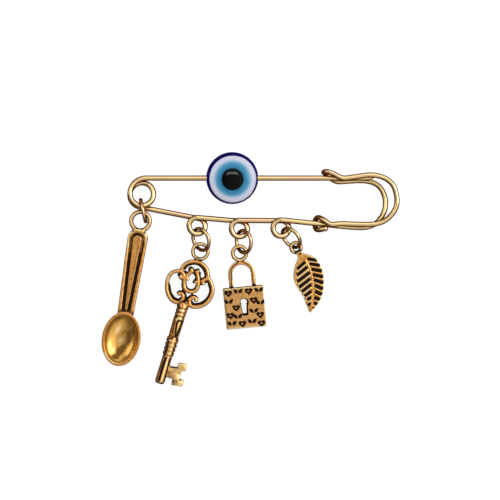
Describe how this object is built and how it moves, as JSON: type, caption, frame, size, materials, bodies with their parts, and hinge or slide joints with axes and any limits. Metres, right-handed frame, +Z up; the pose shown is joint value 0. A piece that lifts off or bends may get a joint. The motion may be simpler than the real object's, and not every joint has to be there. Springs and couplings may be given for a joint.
{
  "type": "safety pin brooch",
  "caption": "Wire safety pin brooch, lying flat, with a coil spring, looped back wire, wrapped clasp, an eye bead on the pin and small spoon, key, padlock and leaf charms on rings.",
  "frame": {"origin": "middle of the bounding box at its base, on the surface that the brooch lies on", "axes": "+X along the pin towards the clasp, +Y from the charms towards the pin arm, +Z up from the surface"},
  "size_m": [0.0688, 0.0542, 0.006],
  "materials": {
    "plated_wire": "polished pale gold plating on steel wire",
    "antique_gold": "cast, antiqued gold plating with dark recesses",
    "eye_resin": "glossy navy resin with white, light blue and black rings on its faces"
  },
  "bodies": {
    "pin_frame": {"frame_wire": "plated_wire", "jump_ring_spoon": "plated_wire", "jump_ring_key": "plated_wire", "jump_ring_lock": "plated_wire", "jump_ring_leaf": "plated_wire", "spoon_charm": "antique_gold", "key_charm": "antique_gold", "lock_charm": "antique_gold", "leaf_charm": "antique_gold"},
    "pin_arm": {"pin_arm": "plated_wire", "eye_bead": "eye_resin"}
  },
  "joints": [
    {"name": "arm_press", "type": "hinge", "parent": "pin_frame", "child": "pin_arm", "pos_m": [-0.02501, 0.01739, 0.00264], "axis": [0, 0.1045, 0.9945], "range_deg": [-7, 0], "stiffness_Nm_per_rad": 0.12, "springref_deg": 20.05}
  ]
}
